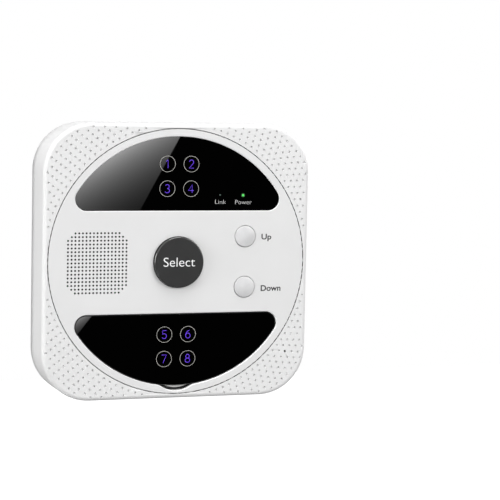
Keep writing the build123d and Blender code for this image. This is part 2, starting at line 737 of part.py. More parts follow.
ZONES = 8
ZONE_PITCH = 15.0
ZONE_XS = [ZONE_PITCH * (i - (ZONES - 1) / 2) for i in range(ZONES)]
TRIAC_R = 2.4
TRIAC_REAR = MAIN_TOP + 2
TRIAC_FRONT = TRIAC_REAR + 4.8
LEAD_WIDTH = 0.5
TRIACS_AT = [(x, -20.5) for x in ZONE_XS]
with BuildPart() as zone_triacs:
    cylinders(TRIACS_AT, TRIAC_R, TRIAC_REAR, TRIAC_FRONT)
    flats = [(x, z - TRIAC_R) for x, z in TRIACS_AT]
    blocks(flats, 2 * TRIAC_R + 0.2, 1.8, TRIAC_REAR, TRIAC_FRONT, mode=Mode.SUBTRACT)
    leads = [(x + step, z) for x, z in TRIACS_AT for step in (-1.27, 0, 1.27)]
    blocks(leads, LEAD_WIDTH, LEAD_WIDTH, MAIN_TOP, TRIAC_REAR)
save(zone_triacs, "zone_triacs")

DISC_Z = -11.0
SURGE_R = 3.4
SURGE_T = 2.6
SURGE_LIFT = 5.5
with BuildPart() as surge_discs:
    for x in ZONE_XS:
        with BuildSketch(Plane.YZ.offset(x - SURGE_T / 2)):
            with Locations((-MAIN_TOP - SURGE_LIFT, DISC_Z)):
                Circle(SURGE_R)
        extrude(amount=SURGE_T)
    leads = [(x, DISC_Z + step) for x in ZONE_XS for step in (-2, 2)]
    blocks(leads, LEAD_WIDTH, LEAD_WIDTH, MAIN_TOP, MAIN_TOP + 3.5)
save(surge_discs, "surge_discs")

BRIDGE_AT = (64.0, 4.0)
BRIDGE_LIFT = 1.5
with BuildPart() as bridge_rectifier:
    blocks([BRIDGE_AT], 3.4, 15, MAIN_TOP + BRIDGE_LIFT, MAIN_TOP + 12)
    leads = [(BRIDGE_AT[0], BRIDGE_AT[1] + 3.8 * i) for i in (-1.5, -0.5, 0.5, 1.5)]
    blocks(leads, 0.8, 0.8, MAIN_TOP, MAIN_TOP + BRIDGE_LIFT)
save(bridge_rectifier, "bridge_rectifier")

CAPACITOR_L = 16.0
with BuildPart() as filter_capacitors:
    cylinders([(-22, 42), (-10, 42)], 5.0, MAIN_TOP, MAIN_TOP + CAPACITOR_L)
    fillet(filter_capacitors.edges().group_by(Axis.Y)[0], 0.6)
save(filter_capacitors, "filter_capacitors")

with BuildPart() as power_inductor:
    ends = [(0, 0), (5, 0), (5, 1.4), (3.9, 1.4), (3.9, 6.6), (5, 6.6), (5, 8), (0, 8)]
    turned((4, 42), [(r, MAIN_TOP + up) for r, up in ends])
save(power_inductor, "power_inductor")

FUSE_H = MAIN_TOP + 4.2
FUSE_Z = 45.0
FUSE_FROM = 14.0
FUSE_L = 20.0
FUSE_R = 2.5
CLIP_IN = 3.0
with BuildPart() as fuse:
    with BuildSketch(Plane.YZ.offset(FUSE_FROM)):
        with Locations((-FUSE_H, FUSE_Z)):
            Circle(FUSE_R)
    extrude(amount=FUSE_L)
save(fuse, "fuse")

with BuildPart() as fuse_clips:
    clips_at = [(FUSE_FROM + CLIP_IN, FUSE_Z), (FUSE_FROM + FUSE_L - CLIP_IN, FUSE_Z)]
    blocks(clips_at, 3.0, 2 * FUSE_R + 1.4, MAIN_TOP, FUSE_H + 1)
    add(fuse.part, mode=Mode.SUBTRACT)
save(fuse_clips, "fuse_clips")

BATTERY_AT = [(-46, 34)]
CELL_R = 10.0
CELL_REAR = MAIN_TOP + 1
HOLDER_TOP = MAIN_TOP + 4
with BuildPart() as battery_holder:
    blocks(BATTERY_AT, 23, 23, MAIN_TOP, HOLDER_TOP)
    fillet(battery_holder.edges().filter_by(Axis.Y), 2)
    cylinders(BATTERY_AT, CELL_R + 0.1, CELL_REAR, HOLDER_TOP, mode=Mode.SUBTRACT)
save(battery_holder, "battery_holder")

with BuildPart() as coin_cell:
    cylinders(BATTERY_AT, CELL_R, CELL_REAR, CELL_REAR + 3.2)
    fillet(coin_cell.edges().group_by(Axis.Y)[0], 0.5)
save(coin_cell, "coin_cell")

PROCESSOR_AT = (22.0, 6.0)
PROCESSOR_W = 10.0
LEG_ROW = [0.8 * (i - 4.5) for i in range(10)]
with BuildPart() as processor:
    blocks([PROCESSOR_AT], PROCESSOR_W, PROCESSOR_W, MAIN_TOP + 0.3, MAIN_TOP + 1.7)
    x, z = PROCESSOR_AT
    blocks([(x + step, z) for step in LEG_ROW], 0.35, PROCESSOR_W + 2, MAIN_TOP, MAIN_TOP + 0.5)
    blocks([(x, z + step) for step in LEG_ROW], PROCESSOR_W + 2, 0.35, MAIN_TOP, MAIN_TOP + 0.5)
save(processor, "processor")

DRIVERS_AT = [(-30, 8), (-30, -3)]
with BuildPart() as driver_chips:
    blocks(DRIVERS_AT, 10, 4, MAIN_TOP + 0.2, MAIN_TOP + 1.8)
    legs = [(x + 1.27 * (i - 3.5), z) for x, z in DRIVERS_AT for i in range(8)]
    blocks(legs, 0.4, 6, MAIN_TOP, MAIN_TOP + 0.6)
save(driver_chips, "driver_chips")

RADIO_AT = (57.0, 29.0)
RADIO_T = 0.8
SHIELD_AT = (57.0, 26.5)
with BuildPart() as radio_board:
    blocks([RADIO_AT], 18, 24, MAIN_TOP, MAIN_TOP + RADIO_T)
save(radio_board, "radio_board")

with BuildPart() as radio_shield:
    blocks([SHIELD_AT], 15, 17, MAIN_TOP + RADIO_T, MAIN_TOP + RADIO_T + 2.4)
    fillet(radio_shield.faces().sort_by(Axis.Y)[0].edges(), 0.4)
save(radio_shield, "radio_shield")

HEADER_AT = [(12, 20)]
with BuildPart() as link_header:
    blocks(HEADER_AT, 26, 5, MAIN_TOP, FRONT_BOARD_H)
    blocks(HEADER_AT, 27, 6, MAIN_TOP, MAIN_TOP + 8)
save(link_header, "link_header")

# ---------------------------------------------------------------- wiring compartment

PAD_SIZE = (7.0, 9.0)
PAD_T = 3.0
PAD_OUT = 1.03
PAD_TURN = Vector(0, -1).get_signed_angle(Vector(*DOOR_MAGNET_AT))
with BuildPart() as wiring_tray:
    with BuildSketch(front_plane(TRAY_FLOOR)):
        add(door_outline(TRAY_IN + TRAY_WALL))
    extrude(amount=TRAY_TOP - TRAY_FLOOR)
    with BuildSketch(front_plane(TRAY_FLOOR + TRAY_FLOOR_T)):
        add(door_outline(TRAY_IN))
    extrude(amount=TRAY_TOP, mode=Mode.SUBTRACT)
    with BuildSketch(front_plane(TRAY_FLOOR)):
        add(door_outline(TRAY_IN))
        with Locations((0, CABLE_GAP_TOP - SIZE / 2)):
            Rectangle(SIZE, SIZE, mode=Mode.INTERSECT)
    extrude(amount=TRAY_FLOOR_T, mode=Mode.SUBTRACT)
    floor_top = TRAY_FLOOR + TRAY_FLOOR_T
    cylinders(TRAY_SCREWS_AT, TRAY_FOOT_R, MAIN_TOP, TRAY_FLOOR)
    cylinders(TRAY_SCREWS_AT, BOARD_HOLE_R, MAIN_TOP, floor_top, mode=Mode.SUBTRACT)
    blocks(
        mirrored((TERMINAL_MID, TERMINAL_Z)),
        TERMINAL_SIZE[0] + 0.6,
        TERMINAL_SIZE[1] + 0.6,
        TRAY_FLOOR,
        floor_top,
        mode=Mode.SUBTRACT,
    )
    blocks(
        [(0, -DIGIT_MID)], GUIDE_WIDTH + 0.8, GUIDE_TALL + 0.4, TRAY_FLOOR, floor_top, mode=Mode.SUBTRACT
    )
    for side in (-1, 1):
        spot = (side * PAD_OUT * DOOR_MAGNET_AT[0], PAD_OUT * DOOR_MAGNET_AT[1])
        blocks([spot], *PAD_SIZE, TRAY_TOP - PAD_T, TRAY_TOP, rotation=side * PAD_TURN)
    cylinders(
        mirrored(DOOR_MAGNET_AT), MAGNET_R, TRAY_TOP - MAGNET_T, TRAY_TOP, mode=Mode.SUBTRACT
    )
save(wiring_tray, "wiring_tray")

screws("tray_screws", TRAY_SCREWS_AT, floor_top, POST_SCREW_TIP, 2.4, 1.6, POST_THREAD_R)
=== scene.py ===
"""Looks of a wall-mounted irrigation controller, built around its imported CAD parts.

Metres throughout. +Z is up, +X is to the right of someone facing the front, and +Y points into the
wall, so the front faces -Y.
"""

import json
import math

import bmesh
import bpy
from mathutils import Matrix, Vector
from mathutils.kdtree import KDTree


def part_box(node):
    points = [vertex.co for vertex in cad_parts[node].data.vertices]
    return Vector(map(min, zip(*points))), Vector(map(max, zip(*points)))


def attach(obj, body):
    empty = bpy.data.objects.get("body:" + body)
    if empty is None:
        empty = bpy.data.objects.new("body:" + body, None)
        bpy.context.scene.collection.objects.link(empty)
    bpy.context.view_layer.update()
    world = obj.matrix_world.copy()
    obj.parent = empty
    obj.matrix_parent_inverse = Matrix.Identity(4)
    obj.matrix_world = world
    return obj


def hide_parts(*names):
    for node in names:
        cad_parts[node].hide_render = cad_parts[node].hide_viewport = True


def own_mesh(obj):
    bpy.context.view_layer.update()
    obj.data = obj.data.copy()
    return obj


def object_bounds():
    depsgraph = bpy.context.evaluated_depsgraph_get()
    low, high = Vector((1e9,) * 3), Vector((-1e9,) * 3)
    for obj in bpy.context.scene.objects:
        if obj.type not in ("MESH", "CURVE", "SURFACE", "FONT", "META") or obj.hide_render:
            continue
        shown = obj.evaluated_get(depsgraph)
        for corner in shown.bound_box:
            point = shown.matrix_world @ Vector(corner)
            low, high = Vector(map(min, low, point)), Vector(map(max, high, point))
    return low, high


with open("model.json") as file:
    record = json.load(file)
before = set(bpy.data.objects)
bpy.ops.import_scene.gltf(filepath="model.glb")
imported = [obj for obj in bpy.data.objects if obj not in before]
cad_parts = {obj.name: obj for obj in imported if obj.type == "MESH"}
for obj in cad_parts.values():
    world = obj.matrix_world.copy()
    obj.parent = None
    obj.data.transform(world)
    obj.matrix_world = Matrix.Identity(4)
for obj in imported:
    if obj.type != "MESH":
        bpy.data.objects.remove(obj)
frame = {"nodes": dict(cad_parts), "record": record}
cad_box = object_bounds()
nodes = frame["nodes"]
MM = 0.001


def centre(box):
    """The middle of a (low, high) box."""
    return (box[0] + box[1]) / 2


def front_of(node):
    """How far forward a node reaches, as its y."""
    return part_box(node)[0].y


# ---------------------------------------------------------------- shader nodes


def feed(tree, socket, value):
    """Links another node's output to a socket, or sets the socket's own value."""
    if isinstance(value, bpy.types.NodeSocket):
        tree.links.new(value, socket)
    else:
        socket.default_value = value


def add_node(tree, kind, *values, **inputs):
    """Adds a node. Values fill its sockets in order, and inputs by name, with _ for a space."""
    made = tree.nodes.new(kind)
    for socket, value in zip(made.inputs, values):
        feed(tree, socket, value)
    for name, value in inputs.items():
        feed(tree, made.inputs[name.replace("_", " ")], value)
    return made


def between(tree, factor, low, high, start, end):
    """A number that runs from low to high as factor runs from start to end."""
    made = add_node(
        tree, "ShaderNodeMapRange", Value=factor, From_Min=start, From_Max=end, To_Min=low, To_Max=high
    )
    return made.outputs["Result"]


class Surface:
    """A material with one Principled shader, and the texture nodes that give it its detail."""

    def __init__(self, name, colour, roughness, **sockets):
        self.material = bpy.data.materials.new(name)
        self.material.use_nodes = True
        self.tree = self.material.node_tree
        self.shader = self.tree.nodes["Principled BSDF"]
        self.colour = colour
        self.give(Base_Color=(*colour, 1), Roughness=roughness, **sockets)
        self.place = self.node("ShaderNodeTexCoord").outputs["Object"]

    def give(self, **sockets):
        """Sets or links sockets of the shader, named with _ for a space."""
        for name, value in sockets.items():
            feed(self.tree, self.shader.inputs[name.replace("_", " ")], value)

    def node(self, kind, *values, **inputs):
        """Adds a node to this material."""
        return add_node(self.tree, kind, *values, **inputs)

    def noise(self, feature, detail=2.0, along=None):
        """Cloudy noise, 0 to 1, with features about that many metres across. along squeezes each axis."""
        place = self.place
        if along:
            place = self.node("ShaderNodeMapping", Vector=place, Scale=along).outputs["Vector"]
        made = self.node("ShaderNodeTexNoise", Vector=place, Scale=1 / feature, Detail=detail)
        return made.outputs["Fac"]

    def cells(self, size):
        """Voronoi cells about that many metres across: 0 at their borders."""
        made = self.node("ShaderNodeTexVoronoi", Vector=self.place, Scale=1 / size)
        made.feature = "DISTANCE_TO_EDGE"
        return made.outputs["Distance"]

    def between(self, factor, low, high, start=0.3, end=0.7):
        """A number that runs from low to high as factor runs from start to end."""
        return between(self.tree, factor, low, high, start, end)

    def depth(self, front, start, end):
        """0 at a depth of start behind a front face, and 1 from end on, whatever faces that way."""
        axes = self.node("ShaderNodeSeparateXYZ", Vector=self.place).outputs
        return self.between(axes["Y"], 0, 1, front + start, front + end)

    def beyond(self, radius, edge):
        """0 within a radius of the controller's axis, and 1 from that radius plus edge outwards."""
        axes = self.node("ShaderNodeSeparateXYZ", Vector=self.place).outputs
        flat = self.node("ShaderNodeCombineXYZ", X=axes["X"], Z=axes["Z"]).outputs["Vector"]
        length = self.node("ShaderNodeVectorMath", flat)
        length.operation = "LENGTH"
        return self.between(length.outputs["Value"], 0, 1, radius, radius + edge)

    def ramp(self, factor, first, last, start, end):
        """A colour that runs from first to last as factor runs from start to end."""
        made = self.node("ShaderNodeValToRGB", Fac=factor)
        low, high = made.color_ramp.elements
        low.position, high.position = start, end
        low.color, high.color = (*first, 1), (*last, 1)
        return made.outputs["Color"]

    def tint(self, factor, other, start=0.3, end=0.7):
        """The base colour turns into the other one as factor runs from start to end."""
        self.give(Base_Color=self.ramp(factor, self.colour, other, start, end))

    def blend_to(self, colour, *factors):
        """Where all the factors are 1, the base colour gives way to another one."""
        amount = factors[0]
        for factor in factors[1:]:
            both = self.node("ShaderNodeMath", amount, factor)
            both.operation = "MULTIPLY"
            amount = both.outputs["Value"]
        mix = self.node("ShaderNodeMix")
        mix.data_type = "RGBA"
        feed(self.tree, mix.inputs["Factor"], amount)
        feed(self.tree, mix.inputs["A"], self.shader.inputs["Base Color"].links[0].from_socket)
        feed(self.tree, mix.inputs["B"], (*colour, 1))
        self.give(Base_Color=mix.outputs["Result"])

    def wear(self, factor, low, high):
        """The roughness wanders between two values."""
        self.give(Roughness=self.between(factor, low, high))

    def relief(self, *layers):
        """Bumps, each given as (factor, height in metres)."""
        below = {}
        for factor, height in layers:
            bump = self.node("ShaderNodeBump", Height=factor, Distance=height, **below)
            below = {"Normal": bump.outputs["Normal"]}
        self.give(**below)


# ---------------------------------------------------------------- kinds of material


def shade(colour, factor):
    """The same colour, lighter or darker."""
    return tuple(min(1.0, c * factor) for c in colour)


def moulded_surface(name, colour, roughness, grain, depth, drift=0.97, **sockets):
    """Injection-moulded plastic: an even spark-eroded grain and a slow drift of tone and sheen."""
    made = Surface(name, colour, roughness, **sockets)
    flow = made.noise(30 * MM, detail=3)
    sheen = made.noise(6 * MM, detail=3)
    sink_marks = made.noise(9 * MM, detail=1)
    made.tint(flow, shade(colour, drift))
    made.wear(sheen, roughness * 0.92, roughness * 1.08)
    made.relief((made.noise(grain), depth), (sink_marks, 6 * depth))
    return made


def moulded(*values, **sockets):
    """The material of a moulded surface."""
    return moulded_surface(*values, **sockets).material


def polished(name, colour, roughness, **sockets):
    """Polished plastic: almost no grain, a faint haze where it was handled."""
    made = Surface(name, colour, roughness, **sockets)
    haze = made.noise(14 * MM, detail=4)
    sink_marks = made.noise(20 * MM, detail=1)
    made.tint(haze, shade(colour, 1.25))
    made.wear(haze, roughness * 0.7, roughness * 1.5)
    made.relief((sink_marks, 0.0015 * MM))
    return made.material


def metal(name, colour, roughness, along=(1, 1, 12)):
    """Plated metal: fine drawn lines, and patches where the plating is duller."""
    made = Surface(name, colour, roughness, Metallic=1.0)
    patches = made.noise(1.8 * MM, detail=3)
    lines = made.noise(0.6 * MM, detail=3, along=along)
    made.tint(patches, shade(colour, 0.8))
    made.wear(patches, roughness * 0.75, roughness * 1.4)
    made.relief((lines, 0.004 * MM))
    return made.material


def clear(name, tone, roughness, ior):
    """Clear acrylic or glass, with the faint waviness of a small moulding."""
    made = Surface(name, tone, roughness, Transmission_Weight=1.0, IOR=ior)
    wave = made.noise(1.2 * MM)
    made.wear(wave, roughness * 0.5, roughness * 1.5)
    made.relief((wave, 0.01 * MM))
    return made.material


def foam(name, colour):
    """Open cells of soft foam."""
    made = Surface(name, colour, roughness=0.95)
    cell = made.cells(0.6 * MM)
    made.tint(cell, shade(colour, 2.4), 0.0, 0.35)
    made.relief((cell, 0.25 * MM))
    return made.material


def paper(name, colour):
    """Pressed paper pulp with fibres lying every way."""
    made = Surface(name, colour, roughness=0.85)
    fibres = made.noise(0.25 * MM, detail=6)
    cockle = made.noise(2 * MM)
    made.tint(fibres, shade(colour, 2.0), 0.4, 0.75)
    made.relief((fibres, 0.03 * MM), (cockle, 0.05 * MM))
    return made.material


def ceramic(name, colour, roughness):
    """Pressed ferrite powder, speckled and slightly chipped."""
    made = Surface(name, colour, roughness)
    speck = made.cells(0.3 * MM)
    chips = made.noise(0.4 * MM, detail=4)
    made.tint(speck, shade(colour, 1.8), 0.0, 0.3)
    made.relief((chips, 0.02 * MM))
    return made.material


def dipped(name, colour):
    """An epoxy dip coat that sagged a little before it set."""
    made = Surface(name, colour, roughness=0.32, Coat_Weight=0.3, Coat_Roughness=0.15)
    sag = made.noise(2.2 * MM, along=(1, 1, 0.5))
    made.tint(sag, shade(colour, 0.7))
    made.relief((sag, 0.12 * MM))
    return made.material


def circuit_board(name, mask, copper):
    """Solder mask over copper tracks: the tracks stand up a little and show lighter."""
    made = Surface(name, mask, roughness=0.34, Coat_Weight=0.4, Coat_Roughness=0.12)
    upright = made.node("ShaderNodeMapping", Vector=made.place, Rotation=(math.radians(90), 0, 0))
    lanes = made.node(
        "ShaderNodeTexBrick",
        Vector=upright.outputs["Vector"],
        Scale=1 / (6 * MM),
        Mortar_Size=0.06,
        Mortar_Smooth=0.2,
    )
    tracks = lanes.outputs["Fac"]
    weave = made.noise(0.2 * MM)
    made.tint(tracks, copper, 0.2, 0.8)
    made.wear(made.noise(3 * MM), 0.28, 0.4)
    made.relief((tracks, 0.035 * MM), (weave, 0.004 * MM))
    return made.material


def sleeved(name, colour, stripe):
    """A shrink sleeve with its lighter polarity stripe."""
    made = Surface(name, colour, roughness=0.3)
    wave = made.node("ShaderNodeTexWave", Vector=made.place, Scale=1 / (32 * MM))
    creases = made.noise(1.5 * MM)
    made.tint(wave.outputs["Fac"], stripe, 0.86, 0.9)
    made.wear(made.noise(4 * MM), 0.25, 0.4)
    made.relief((creases, 0.02 * MM))
    return made.material


def ink(name, colour):
    """Pad-printed ink, a little thinner here and there."""
    made = Surface(name, colour, roughness=0.55)
    speckle = made.noise(0.15 * MM, detail=3)
    made.tint(speckle, shade(colour, 0.9))
    made.relief((speckle, 0.003 * MM))
    return made.material


def lit(name, body_colour, glow, strength=1.0):
    """A lit legend or lamp: its light is a little uneven, as through a diffuser."""
    made = Surface(name, body_colour, roughness=0.3, Emission_Strength=strength)
    cloud = made.noise(1.4 * MM)
    made.give(Emission_Color=made.ramp(cloud, shade(glow, 0.82), glow, 0.25, 0.75))
    made.relief((cloud, 0.003 * MM))
    return made.material


# ---------------------------------------------------------------- this controller's materials

WHITE_PLASTIC = (0.80, 0.80, 0.80)
FACE_WHITE = (0.775, 0.775, 0.775)
# Painted highlight: the faceplate's bevels and every face set back behind its front are lightened to this.
BEVEL_HIGHLIGHT_WHITE = (0.96, 0.96, 0.96)
SHADOW_GREY = (0.03, 0.03, 0.03)
# Painted shade for the inside of the grille's holes.
HOLE_SHADE_BLACK = (0.002, 0.002, 0.002)
KEY_BLACK = (0.017, 0.017, 0.017)
# Painted shade for the wall of the Select key.
KEY_WALL_SHADE = (0.004, 0.004, 0.004)


def face_surface(name):
    """The plastic that the faceplate and the speaker grille share."""
    return moulded_surface(name, FACE_WHITE, roughness=0.42, grain=0.18 * MM, depth=0.004 * MM)


def faceplate_plastic(name):
    """Face plastic with a painted highlight on its bevels, and painted shade on its rim down in the seam
    around the disc.
    """
    made = face_surface(name)
    front = front_of("faceplate")
    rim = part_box("faceplate")[1].x
    bevels = made.depth(front, start=0.02 * MM, end=0.06 * MM)
    deep = made.depth(front, start=0.15 * MM, end=0.4 * MM)
    outermost = made.beyond(rim - 0.03 * MM, edge=0.02 * MM)
    # Painted highlight on the bevels and on every face set back behind the front.
    made.blend_to(BEVEL_HIGHLIGHT_WHITE, bevels)
    # Painted shade on the rim down in the seam around the disc.
    made.blend_to(SHADOW_GREY, deep, outermost)
    return made.material


def grille_plastic(name):
    """Face plastic with painted shade inside its drilled holes."""
    made = face_surface(name)
    holes = made.depth(front_of("speaker_grille"), start=0.02 * MM, end=0.08 * MM)
    # Painted shade: faces set back behind the grille's front go near black.
    made.blend_to(HOLE_SHADE_BLACK, holes)
    return made.material


def key_plastic(name):
    """The Select key's plastic: lacquered over its front edge, dull on its wall, which carries painted
    shade.
    """
    made = moulded_surface(
        name,
        KEY_BLACK,
        roughness=0.5,
        grain=0.2 * MM,
        depth=0.004 * MM,
        drift=1.15,
        Coat_Roughness=0.04,
        Coat_IOR=1.9,
    )
    wall = made.depth(front_of("select_button"), start=0.6 * MM, end=0.8 * MM)
    # Painted shade darkens the key's wall. Its lacquer and sheen also fade there.
    made.blend_to(KEY_WALL_SHADE, wall)
    made.give(
        Coat_Weight=made.between(wall, 1.0, 0.0, start=0, end=1),
        Specular_IOR_Level=made.between(wall, 0.5, 0.15, start=0, end=1),
    )
    return made.material


finishes = {
    "casing": moulded(
        "casing", WHITE_PLASTIC, roughness=0.6, grain=0.22 * MM, depth=0.006 * MM, Specular_IOR_Level=0.3
    ),
    "face": faceplate_plastic("face"),
    "pearl": polished("pearl", (0.60, 0.60, 0.605), roughness=0.32, Coat_Weight=0.15, Coat_Roughness=0.12),
    "smoked_panel": polished("smoked_panel", (0.0002, 0.0002, 0.0002), roughness=0.008, IOR=1.49),
    "inner_plastic": moulded(
        "inner_plastic", (0.60, 0.60, 0.59), roughness=0.5, grain=0.25 * MM, depth=0.008 * MM
    ),
    "charcoal": key_plastic("charcoal"),
    "rubber": moulded(
        "rubber", (0.022, 0.022, 0.023), roughness=0.78, grain=0.3 * MM, depth=0.02 * MM, drift=1.6
    ),
    "foam": foam("foam", (0.018, 0.018, 0.018)),
    "steel": metal("steel", (0.62, 0.62, 0.61), roughness=0.3),
    "brass": metal("brass", (0.74, 0.56, 0.27), roughness=0.26),
    "magnet": metal("magnet", (0.60, 0.60, 0.62), roughness=0.16, along=None),
    "paper_cone": paper("paper_cone", (0.016, 0.016, 0.016)),
    "black_plastic": moulded(
        "black_plastic", (0.016, 0.016, 0.017), roughness=0.44, grain=0.2 * MM, depth=0.01 * MM, drift=1.5
    ),
    "ferrite": ceramic("ferrite", (0.045, 0.045, 0.05), roughness=0.7),
    "varistor": dipped("varistor", (0.02, 0.08, 0.34)),
    "board": circuit_board("board", mask=(0.008, 0.075, 0.028), copper=(0.03, 0.17, 0.06)),
    "lamp": polished("lamp", (0.86, 0.84, 0.72), roughness=0.16),
    "light_pipe": clear("light_pipe", (0.96, 0.96, 0.96), roughness=0.12, ior=1.49),
    "fuse_glass": clear("fuse_glass", (0.95, 0.98, 0.98), roughness=0.03, ior=1.52),
    "capacitor": sleeved("capacitor", (0.012, 0.013, 0.03), stripe=(0.55, 0.56, 0.58)),
    "terminal_green": moulded(
        "terminal_green", (0.012, 0.22, 0.07), roughness=0.4, grain=0.3 * MM, depth=0.01 * MM, drift=0.8
    ),
}
drilled_face = grille_plastic("drilled_face")
pit_shadow = moulded("pit_shadow", (0.02, 0.02, 0.02), roughness=0.6, grain=0.1 * MM, depth=0.004 * MM)
seam_shadow = moulded("seam_shadow", SHADOW_GREY, roughness=0.6, grain=0.1 * MM, depth=0.004 * MM)
white_ink = ink("white_ink", (1.0, 1.0, 1.0))
grey_ink = ink("grey_ink", (0.035, 0.035, 0.037))
window_ink = ink("window_ink", (0.75, 0.75, 0.75))
ring_glow = lit("ring_glow", (0.3, 0.3, 0.3), glow=(0.76, 0.74, 0.64), strength=0.5)
digit_glow = lit("digit_glow", (0.02, 0.01, 0.08), glow=(0.16, 0.05, 1.0))
power_glow = lit("power_glow", (0.02, 0.05, 0.02), glow=(0.09, 0.95, 0.13))
power_halo = lit("power_halo", (0.001, 0.004, 0.001), glow=(0.0, 0.05, 0.002))
link_glow = lit("link_glow", (0.03, 0.04, 0.035), glow=(0.02, 0.045, 0.035))


def finish_cad_nodes():
    """Every CAD node takes the material of the slot that the record gives it."""
    for part in frame["record"]["subparts"]:
        mesh = nodes[part["node"]].data
        mesh.materials.clear()
        mesh.materials.append(finishes[part["material_slot"]])
    nodes["speaker_grille"].data.materials[0] = drilled_face


# ---------------------------------------------------------------- mesh helpers


def add_object(name, data):
    """An object in the scene, from a mesh, a curve, a lamp or a camera."""
    made = bpy.data.objects.new(name, data)
    bpy.context.scene.collection.objects.link(made)
    return made


def make_object(name, mesh, material, body):
    """A piece from a mesh already in the row frame."""
    mesh.materials.clear()
    mesh.materials.append(material)
    made = add_object(name, mesh)
    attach(made, body)
    return made


def evaluated_mesh(thing):
    """A new mesh of an object, as its modifiers or its curve's thickness leave it."""
    bpy.context.view_layer.update()
    return bpy.data.meshes.new_from_object(thing.evaluated_get(bpy.context.evaluated_depsgraph_get()))


def curve_mesh(curve):
    """The mesh of a curve or of lettering, which is used up."""
    holder = add_object(curve.name, curve)
    mesh = evaluated_mesh(holder)
    bpy.data.objects.remove(holder)
    bpy.data.curves.remove(curve)
    return mesh


def wire_mesh(name, lines, thickness):
    """Round wire with closed ends along each line of points."""
    curve = bpy.data.curves.new(name, "CURVE")
    curve.dimensions = "3D"
    curve.bevel_depth = thickness / 2
    curve.bevel_resolution = 3
    curve.use_fill_caps = True
    for places in lines:
        line = curve.splines.new("POLY")
        line.points.add(len(places) - 1)
        for point, place in zip(line.points, places):
            point.co = (*place, 1)
    return curve_mesh(curve)


def welded(mesh, within=0.001 * MM):
    """A bmesh of a mesh, with vertices that lie that close merged."""
    shape = bmesh.new()
    shape.from_mesh(mesh)
    bmesh.ops.remove_doubles(shape, verts=shape.verts, dist=within)
    return shape


def write_outwards(shape, mesh):
    """Writes a bmesh to a mesh, with its faces turned outwards."""
    bmesh.ops.recalc_face_normals(shape, faces=shape.faces)
    shape.to_mesh(mesh)
    shape.free()


def smooth(mesh, sharp_from=None):
    """Shades a mesh smooth, but for edges that bend by that many degrees."""
    mesh.polygons.foreach_set("use_smooth", [True] * len(mesh.polygons))
    if sharp_from:
        mesh.set_sharp_from_angle(angle=math.radians(sharp_from))


def angles(steps):
    """Even steps around a circle."""
    return [2 * math.pi * k / steps for k in range(steps)]


def around(middle, radius, angle, y):
    """A point at that angle on a circle about an (x, z), in the plane at y."""
    x, z = middle
    return (x + radius * math.cos(angle), y, z + radius * math.sin(angle))


def solids(node):
    """The (lowest corner, highest corner) of each separate solid of a CAD node, top row first, then left
    to right."""
    shape = welded(nodes[node].data)
    left = set(shape.verts)
    found = []
    while left:
        island, edge = set(), [left.pop()]
        while edge:
            vert = edge.pop()
            island.add(vert)
            for near in (e.other_vert(vert) for e in vert.link_edges):
                if near in left:
                    left.remove(near)
                    edge.append(near)
        corners = [[pick(v.co[axis] for v in island) for axis in range(3)] for pick in (min, max)]
        found.append(tuple(Vector(c) for c in corners))
    shape.free()
    return sorted(found, key=lambda box: (-round(centre(box).z, 4), centre(box).x))


# ---------------------------------------------------------------- dimpled front shell

CASING_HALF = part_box("front_shell")[1].x
CORNER_RADIUS = 28.5 * MM
FLAT_MARGIN = 2.1 * MM
DIMPLE_RINGS = 6
FIRST_RING = 80.35 * MM
RING_STEP = 3.33 * MM
FIRST_COUNT = 120
COUNT_STEP = 5
DIMPLE_RADIUS = 0.7 * MM
DIMPLE_DEPTH = 1.2 * MM
BALL_STEPS = 16
BALL_ROWS = 8
PINHOLE_MARGIN = 1.7 * MM
PINHOLE_REACH = 0.8 * MM
SEAM_REACH = 0.6 * MM
SHADOW_START = 0.05 * MM
SHADOW_END = 1.05 * DIMPLE_DEPTH
WALL_TILT = 0.1
PIT_INDEX = 1
SEAM_INDEX = 2


def dimple_places(pinhole):
    """Rings of dimples about the faceplate's centre, kept where they fall on the flat front of a
    corner."""
    straight = CASING_HALF - CORNER_RADIUS
    for row in range(DIMPLE_RINGS):
        radius = FIRST_RING + row * RING_STEP
        for angle in angles(FIRST_COUNT + row * COUNT_STEP):
            x, z = radius * math.cos(angle), radius * math.sin(angle)
            out_x, out_z = abs(x) - straight, abs(z) - straight
            if max(abs(x), abs(z)) > CASING_HALF - FLAT_MARGIN:
                continue
            if min(out_x, out_z) > 0 and math.hypot(out_x, out_z) > CORNER_RADIUS - FLAT_MARGIN:
                continue
            if math.hypot(x - pinhole.x, z - pinhole.z) > PINHOLE_MARGIN:
                yield x, z


def add_ball(verts, faces, middle, y):
    """Adds a closed ball, as deep and as wide as a dimple, to lists of vertices and faces."""
    first = len(verts)
    verts += [around(middle, 0, 0, y - DIMPLE_DEPTH), around(middle, 0, 0, y + DIMPLE_DEPTH)]
    for row in range(1, BALL_ROWS):
        tilt = math.pi * row / BALL_ROWS
        flat, reach = DIMPLE_RADIUS * math.sin(tilt), DIMPLE_DEPTH * math.cos(tilt)
        verts += [around(middle, flat, angle, y - reach) for angle in angles(BALL_STEPS)]
    last = first + 2 + (BALL_ROWS - 2) * BALL_STEPS
    for k in range(BALL_STEPS):
        n = (k + 1) % BALL_STEPS
        faces.append((first, first + 2 + k, first + 2 + n))
        faces.append((first + 1, last + n, last + k))
        for here in range(first + 2, last, BALL_STEPS):
            faces.append((here + k, here + BALL_STEPS + k, here + BALL_STEPS + n, here + n))


